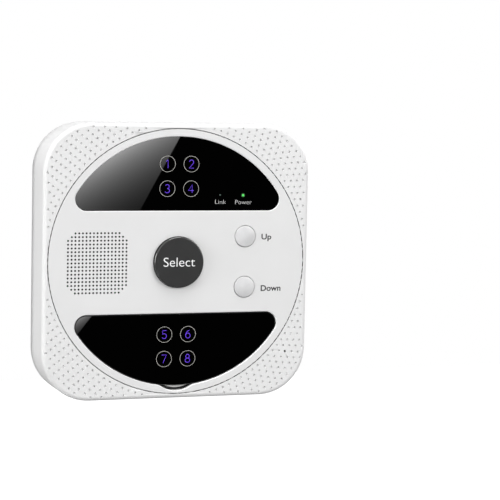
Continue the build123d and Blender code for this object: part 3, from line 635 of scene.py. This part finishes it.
def shade_recesses(mesh, front, places, pinhole):
    """Gives the inside of the dimples and the pinhole, and the wall of the seam around the disc, their
    shadow."""
    mesh.materials.append(pit_shadow)
    mesh.materials.append(seam_shadow)
    tree = KDTree(len(places))
    for index, (x, z) in enumerate(places):
        tree.insert((x, 0, z), index)
    tree.balance()
    disc_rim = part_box("faceplate")[1].x
    for face in mesh.polygons:
        x, y, z = face.center
        if not front + SHADOW_START < y < front + SHADOW_END:
            continue
        in_dimple = tree.find((x, 0, z))[2] < DIMPLE_RADIUS
        in_pinhole = math.hypot(x - pinhole.x, z - pinhole.z) < PINHOLE_REACH
        is_wall = abs(face.normal.y) < WALL_TILT
        if in_dimple or in_pinhole:
            face.material_index = PIT_INDEX
        elif is_wall and disc_rim < math.hypot(x, z) < disc_rim + SEAM_REACH:
            face.material_index = SEAM_INDEX


def dimple_cutter(places, front):
    """A ball at every dimple, halfway into the front face."""
    verts, faces = [], []
    for place in places:
        add_ball(verts, faces, place, front)
    mesh = bpy.data.meshes.new("dimple_cutter")
    mesh.from_pydata(verts, [], faces)
    return add_object("dimple_cutter", mesh)


def dimpled_shell():
    """The front shell with shallow round dimples cut in its four corners."""
    shape = welded(nodes["front_shell"].data)
    plain = bpy.data.meshes.new("front_shell_plain")
    shape.to_mesh(plain)
    shape.free()
    shell = make_object("front_shell_dimpled", plain, finishes["casing"], "housing")

    front = front_of("front_shell")
    pinhole = centre(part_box("reset_rod"))
    places = list(dimple_places(pinhole))
    cutter = dimple_cutter(places, front)
    cut = shell.modifiers.new("dimples", "BOOLEAN")
    cut.operation, cut.solver, cut.object = "DIFFERENCE", "MANIFOLD", cutter
    shell.data = evaluated_mesh(shell)
    shell.data.name = "front_shell_dimpled"
    shell.modifiers.remove(cut)
    bpy.data.meshes.remove(cutter.data)
    bpy.data.meshes.remove(plain)

    shade_recesses(shell.data, front, places, pinhole)
    smooth(shell.data, sharp_from=30)
    even = shell.modifiers.new("even_normals", "WEIGHTED_NORMAL")
    even.keep_sharp, even.weight = True, 100
    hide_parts("front_shell")


# ---------------------------------------------------------------- return spring of the Select key

SPRING_WIRE = 0.7 * MM
SPRING_TURNS = 6
SPRING_STEPS = 48 * SPRING_TURNS
DEAD_TURN = 0.9
CLOSE_PITCH = 1.03 * SPRING_WIRE


def return_spring():
    """The Select key's spring: close turns at its two ends, and open turns between."""
    low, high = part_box("select_spring")
    middle = centre((low, high))
    radius = (high.x - low.x - SPRING_WIRE) / 2
    foot, top = high.y - SPRING_WIRE / 2, low.y + SPRING_WIRE / 2
    half_turns = SPRING_TURNS / 2
    open_pitch = ((foot - top) / 2 - CLOSE_PITCH * DEAD_TURN) / (half_turns - DEAD_TURN)
    places = []
    for k in range(SPRING_STEPS + 1):
        turn = SPRING_TURNS * k / SPRING_STEPS
        from_end = min(turn, SPRING_TURNS - turn)
        along = CLOSE_PITCH * min(from_end, DEAD_TURN) + open_pitch * max(0, from_end - DEAD_TURN)
        y = foot - along if turn < half_turns else top + along
        places.append(around(middle.xz, radius, 2 * math.pi * turn, y))
    mesh = wire_mesh("return_spring", [places], SPRING_WIRE)
    smooth(mesh, sharp_from=50)
    spring = make_object("return_spring", mesh, finishes["steel"], "housing")
    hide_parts("select_spring")
    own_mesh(spring)


# ---------------------------------------------------------------- printed and lit legends

FILM = 0.02 * MM


def text_mesh(name, words, weight):
    """Lettering one unit tall in the font's own size, as a closed mesh one unit thick in the XY plane."""
    curve = bpy.data.curves.new(name, "FONT")
    curve.body = words
    curve.extrude = 0.5
    curve.offset = weight
    curve.resolution_u = 6
    return curve_mesh(curve)


def extent(mesh, axis):
    """Lowest and highest coordinate of a mesh along an axis."""
    along = [v.co[axis] for v in mesh.vertices]
    return min(along), max(along)


def legend(name, words, spot, front, drop, cap, width, weight, material, body):
    """Lettering on a front face: centred below spot, standing a drop under it, with capitals cap tall."""
    cap_mesh = text_mesh("cap_probe", "H", weight)
    low, high = extent(cap_mesh, 1)
    bpy.data.meshes.remove(cap_mesh)
    mesh = text_mesh(name, words, weight)
    left, right = extent(mesh, 0)
    wide, tall = width / (right - left), cap / (high - low)
    for vert in mesh.vertices:
        x, y, depth = vert.co
        vert.co = (
            spot.x + (x - (left + right) / 2) * wide,
            front - depth * 2 * FILM,
            spot.z - drop + (y - low) * tall,
        )
    write_outwards(welded(mesh, 0.0005 * MM), mesh)
    make_object(name, mesh, material, body)


def ring(name, spot, front, outer, inner, material, body, slot, steps=72):
    """A thin flat ring on a front face."""
    shape = bmesh.new()
    section = [(outer, FILM), (outer, -FILM), (inner, -FILM), (inner, FILM)]
    turns = [
        [shape.verts.new(around(spot.xz, radius, angle, front + y)) for radius, y in section]
        for angle in angles(steps)
    ]
    for here, after in zip(turns, turns[1:] + turns[:1]):
        for i in range(len(section)):
            j = (i + 1) % len(section)
            shape.faces.new((here[i], here[j], after[j], after[i]))
    mesh = bpy.data.meshes.new(name)
    write_outwards(shape, mesh)
    make_object(name, mesh, material, body)


def lens(name, spot, front, radius, rise, material, steps=32, rings=6):
    """A low domed lamp lens on the housing."""
    shape = bmesh.new()
    rows = []
    for row in range(rings):
        tilt = math.pi / 2 * row / rings
        flat, y = radius * math.cos(tilt), front - rise * math.sin(tilt)
        rows.append([shape.verts.new(around(spot.xz, flat, angle, y)) for angle in angles(steps)])
    top = shape.verts.new((spot.x, front - rise, spot.z))
    for k in range(steps):
        n = (k + 1) % steps
        for low, high in zip(rows, rows[1:]):
            shape.faces.new((low[k], low[n], high[n], high[k]))
        shape.faces.new((rows[-1][k], rows[-1][n], top))
    shape.faces.new(list(reversed(rows[0])))
    mesh = bpy.data.meshes.new(name)
    write_outwards(shape, mesh)
    smooth(mesh)
    make_object(name, mesh, material, "housing")


def arc(x, z, wide, tall, start, end, steps=14):
    """Points along part of an ellipse, angles in degrees from +x."""
    turns = [math.radians(start + (end - start) * k / steps) for k in range(steps + 1)]
    return [(x + wide * math.cos(t), z + tall * math.sin(t)) for t in turns]


# Strokes of plain digits, in a box 1 high that stands on z = 0 and is centred on x = 0.
DIGIT_STROKES = {
    1: [[(-0.2, 0.8), (0.04, 1.0), (0.04, 0.0)]],
    2: [[*arc(0, 0.73, 0.27, 0.27, 165, -38), (-0.29, 0.0), (0.31, 0.0)]],
    3: [arc(-0.02, 0.76, 0.25, 0.24, 150, -90), arc(-0.02, 0.26, 0.3, 0.26, 90, -152)],
    4: [[(0.34, 0.28), (-0.34, 0.28), (0.14, 1.0), (0.14, 0.0)]],
    5: [[(0.26, 1.0), (-0.2, 1.0), (-0.24, 0.55), *arc(-0.02, 0.31, 0.29, 0.31, 120, -150)]],
    6: [[*arc(0.34, 0.32, 0.63, 0.68, 106, 180), *arc(0, 0.31, 0.29, 0.31, 180, 540, steps=28)]],
    7: [[(-0.29, 1.0), (0.3, 1.0), (-0.1, 0.0)]],
    8: [arc(0, 0.76, 0.23, 0.24, 90, 450, steps=24), arc(0, 0.27, 0.29, 0.27, 90, 450, steps=24)],
}


def digit(name, number, spot, front, tall, stroke, material, body, slot):
    """A digit drawn in rounded strokes, pressed flat on a front face."""
    reach = tall - stroke
    lines = [
        [(spot.x + x * reach, 0, spot.z + (z - 0.5) * reach) for x, z in points]
        for points in DIGIT_STROKES[number]
    ]
    mesh = wire_mesh(name, lines, stroke)
    for vert in mesh.vertices:
        vert.co.y = front + vert.co.y * 2 * FILM / stroke
    make_object(name, mesh, material, body)


ZONE_RING = 4.7 * MM
ZONE_LINE = 0.17 * MM
ZONE_DIGIT = 5.1 * MM
ZONE_STROKE = 0.33 * MM
WINDOW_ZONES = 4
DOOR_LEGEND_SHIFT = -0.4 * MM


def zone_legends():
    """Digits 1 to 4 on the display window and 5 to 8 on the terminal door, each in its ring."""
    for number, lamp in enumerate(solids("zone_leds"), start=1):
        spot, panel, body = centre(lamp), "display_window", "housing"
        if number > WINDOW_ZONES:
            panel, body = "door_panel", "terminal_door"
            spot.x += DOOR_LEGEND_SHIFT
        front = front_of(panel)
        sizes = (ZONE_RING, ZONE_RING - ZONE_LINE)
        ring(f"zone_ring_{number}", spot, front, *sizes, ring_glow, body, "smoked_panel")
        sizes = (ZONE_DIGIT, ZONE_STROKE)
        digit(f"zone_digit_{number}", number, spot, front, *sizes, digit_glow, body, "smoked_panel")


STATUS_SHIFT = Vector((0.3 * MM, 0, 0))


def status_legends():
    """The two status lamps and the words under them."""
    front = front_of("display_window")
    link, power = (centre(box) for box in sorted(solids("status_light_pipes"), key=lambda b: b[0].x))
    lens("link_lamp", link, front, 0.5 * MM, 0.05 * MM, link_glow)
    lens("power_halo", power, front, 1.25 * MM, FILM, power_halo)
    lens("power_lamp", power, front, 0.72 * MM, 0.08 * MM, power_glow)
    for words, lamp, width in (("Link", link, 6.6 * MM), ("Power", power, 10.2 * MM)):
        legend(
            f"{words.lower()}_label",
            words,
            lamp + STATUS_SHIFT,
            front,
            drop=5.2 * MM,
            cap=2.4 * MM,
            width=width,
            weight=-0.018,
            material=window_ink,
            body="housing",
        )


def step_key_legend(words, gap, drop, cap, width):
    """A word on the faceplate, its middle a gap to the right of its key."""
    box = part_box(f"{words.lower()}_button")
    legend(
        f"{words.lower()}_label",
        words,
        Vector((box[1].x + gap, 0, centre(box).z)),
        front_of("faceplate"),
        drop,
        cap,
        width,
        weight=0.022,
        material=grey_ink,
        body="housing",
    )


def key_legends():
    """Words beside the step keys and on the Select key."""
    step_key_legend("Up", gap=5.4 * MM, drop=2.0 * MM, cap=3.35 * MM, width=6.2 * MM)
    step_key_legend("Down", gap=8.75 * MM, drop=2.75 * MM, cap=3.5 * MM, width=12.5 * MM)
    legend(
        "select_label",
        "Select",
        centre(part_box("select_button")),
        front_of("select_button"),
        drop=2.3 * MM,
        cap=5.2 * MM,
        width=19.1 * MM,
        weight=-0.007,
        material=white_ink,
        body="select_key",
    )


# ---------------------------------------------------------------- surroundings, light and camera

AIM = Vector((44.2, -40.0, 6.5)) * MM
VIEW_AZIMUTH = math.radians(-19.06)
VIEW_ELEVATION = math.radians(5.16)
VIEW_DISTANCE = 1.0859
VIEW_ROLL = math.radians(1.18)
LENS = 132.2
WHITE = (1, 1, 1, 1)


def facing_origin(place):
    """The turn with which a light or a camera at that place looks at the origin."""
    return place.to_track_quat("Z", "Y").to_matrix().to_4x4()


def add_camera():
    """A long lens a little above the controller and to its left."""
    toward = Vector(
        (
            math.cos(VIEW_ELEVATION) * math.sin(VIEW_AZIMUTH),
            -math.cos(VIEW_ELEVATION) * math.cos(VIEW_AZIMUTH),
            math.sin(VIEW_ELEVATION),
        )
    )
    camera = add_object("camera", bpy.data.cameras.new("camera"))
    camera.data.lens = LENS
    camera.data.sensor_width = 36.0
    camera.data.clip_start = 0.01
    stand = Matrix.Translation(AIM + toward * VIEW_DISTANCE)
    camera.matrix_world = stand @ facing_origin(toward) @ Matrix.Rotation(VIEW_ROLL, 4, "Z")
    bpy.context.scene.camera = camera
    return camera


def add_softbox(name, place, size, power):
    """A square area light aimed at the middle of the controller."""
    light = bpy.data.lights.new(name, "AREA")
    light.shape, light.size, light.energy = "SQUARE", size, power
    place = Vector(place)
    add_object(name, light).matrix_world = Matrix.Translation(place) @ facing_origin(place)


# The fill fades between directions that point this much forwards and this much backwards.
REAR_FADE = 0.3


def white_world(fill, rear_fill, gloss):
    """White behind everything, a soft fill for matt surfaces that fades towards the rear, and a dim room
    in mirror-like ones."""
    world = bpy.data.worlds.new("white_world")
    bpy.context.scene.world = world
    world.use_nodes = True
    tree = world.node_tree
    tree.nodes.clear()

    def glow(strength):
        lamp = add_node(tree, "ShaderNodeBackground", Color=WHITE, Strength=strength)
        return lamp.outputs["Background"]

    direction = add_node(tree, "ShaderNodeTexCoord").outputs["Generated"]
    backwards = add_node(tree, "ShaderNodeSeparateXYZ", direction).outputs["Y"]
    chosen = glow(between(tree, backwards, fill, rear_fill, start=-REAR_FADE, end=REAR_FADE))
    rays = add_node(tree, "ShaderNodeLightPath").outputs
    for ray, strength in (("Is Glossy Ray", gloss), ("Is Camera Ray", 1.0)):
        chosen = add_node(tree, "ShaderNodeMixShader", rays[ray], chosen, glow(strength)).outputs[0]
    add_node(tree, "ShaderNodeOutputWorld", Surface=chosen)


def flat_sheet(name, corners, material):
    """A flat sheet of the surroundings, from its corners in order."""
    mesh = bpy.data.meshes.new(name)
    mesh.from_pydata(corners, [], [tuple(range(len(corners)))])
    mesh.materials.append(material)
    return add_object(name, mesh)


FLOOR_HALF = 6.0
FLOOR_DROP = 1.0


def add_floor():
    """A plain pale floor, well below the controller, which hangs on a wall."""
    made = Surface("pale_floor", (0.9, 0.9, 0.9), 0.8, Emission_Color=WHITE, Emission_Strength=1.0)
    made.relief((made.noise(0.4), 0.0005))
    size, low = FLOOR_HALF, cad_box[0][2] - FLOOR_DROP
    corners = [(-size, -size, low), (size, -size, low), (size, size, low), (-size, size, low)]
    floor = flat_sheet("floor", corners, made.material)
    floor.visible_glossy = floor.visible_diffuse = False


FLAG_GAP = 25 * MM
FLAG_EDGE = -14.8 * MM
FLAG_REAR = 50 * MM
FLAG_TALL = 1.3 * CASING_HALF


def add_flag():
    """A black flag to the left, hidden from the camera, that shades the rear of the casing's side."""
    made = Surface("black_flag", (0.0, 0.0, 0.0), roughness=1.0, Specular_IOR_Level=0.0)
    made.relief((made.noise(0.01), 0.0001))
    x = cad_box[0][0] - FLAG_GAP
    corners = [
        (x, FLAG_EDGE, -FLAG_TALL),
        (x, FLAG_REAR, -FLAG_TALL),
        (x, FLAG_REAR, FLAG_TALL),
        (x, FLAG_EDGE, FLAG_TALL),
    ]
    flag = flat_sheet("black_flag", corners, made.material)
    flag.visible_camera = flag.visible_glossy = flag.visible_transmission = False


CARD_DISTANCE = 1.3


def card_spot(eye, front, x, z):
    """Where a ray from the eye, mirrored at x and z in the front plane, has come out by the cards'
    distance."""
    spot = Vector((x, front, z))
    ray = spot - eye
    return spot + Vector((ray.x, -ray.y, ray.z)) * (CARD_DISTANCE / ray.y)


def glow_material(name, start, end, start_level, end_level):
    """Plain light that changes evenly, by ratio, between two places."""
    material = bpy.data.materials.new(name)
    material.use_nodes = True
    tree = material.node_tree
    tree.nodes.clear()
    along = end - start
    place = add_node(tree, "ShaderNodeTexCoord").outputs["Object"]
    dot = add_node(tree, "ShaderNodeVectorMath", place, along)
    dot.operation = "DOT_PRODUCT"
    levels = math.log(start_level), math.log(end_level)
    power = between(tree, dot.outputs["Value"], *levels, start=start.dot(along), end=end.dot(along))
    level = add_node(tree, "ShaderNodeMath", math.e, power)
    level.operation = "POWER"
    emission = add_node(tree, "ShaderNodeEmission", Strength=level.outputs["Value"])
    add_node(tree, "ShaderNodeOutputMaterial", Surface=emission.outputs["Emission"])
    return material


def add_card(name, eye, front, outline, bright, dark):
    """A softbox front that only gloss sees. outline is how its reflection lies on the window, as x and z
    in mm. bright and dark are places on it and how strongly they glow."""
    spots = [card_spot(eye, front, x * MM, z * MM) for x, z in (*outline, bright[0], dark[0])]
    *corners, start, end = spots
    card = flat_sheet(name, corners, glow_material(name, start, end, bright[1], dark[1]))
    card.visible_camera = card.visible_diffuse = card.visible_shadow = card.visible_transmission = False


def surroundings():
    """World, lights, floor, reflection cards and camera."""
    eye = add_camera().matrix_world.translation.copy()
    white_world(fill=0.46, rear_fill=0.08, gloss=0.01)
    add_softbox("top_light", (0.1, -0.5, 1.8), size=1.0, power=21.5)
    add_softbox("side_light", (-2.0, -0.3, 0.3), size=1.0, power=31)
    add_softbox("front_light", (-0.7, -2.4, 0.9), size=1.2, power=9)
    add_softbox("right_light", (1.5, -1.9, 0.8), size=1.2, power=22)
    add_softbox("back_light", (1.6, 1.5, 1.0), size=1.4, power=36)
    add_floor()
    add_flag()
    add_card(
        "upper_card",
        eye,
        front_of("display_window"),
        outline=[(-95, 95), (12.1, 95), (-29.1, 20), (-95, 20)],
        bright=((-30, 68), 9.0),
        dark=((-9.2, 32.4), 0.2),
    )
    add_card(
        "lower_card",
        eye,
        front_of("door_panel"),
        outline=[(-95, 5), (-22.2, 5), (-75, -60), (-95, -60)],
        bright=((-57, -27), 16.0),
        dark=((-50, -38), 0.26),
    )
    bpy.context.scene.view_settings.view_transform = "Standard"


finish_cad_nodes()
dimpled_shell()
return_spring()
zone_legends()
status_legends()
key_legends()
surroundings()
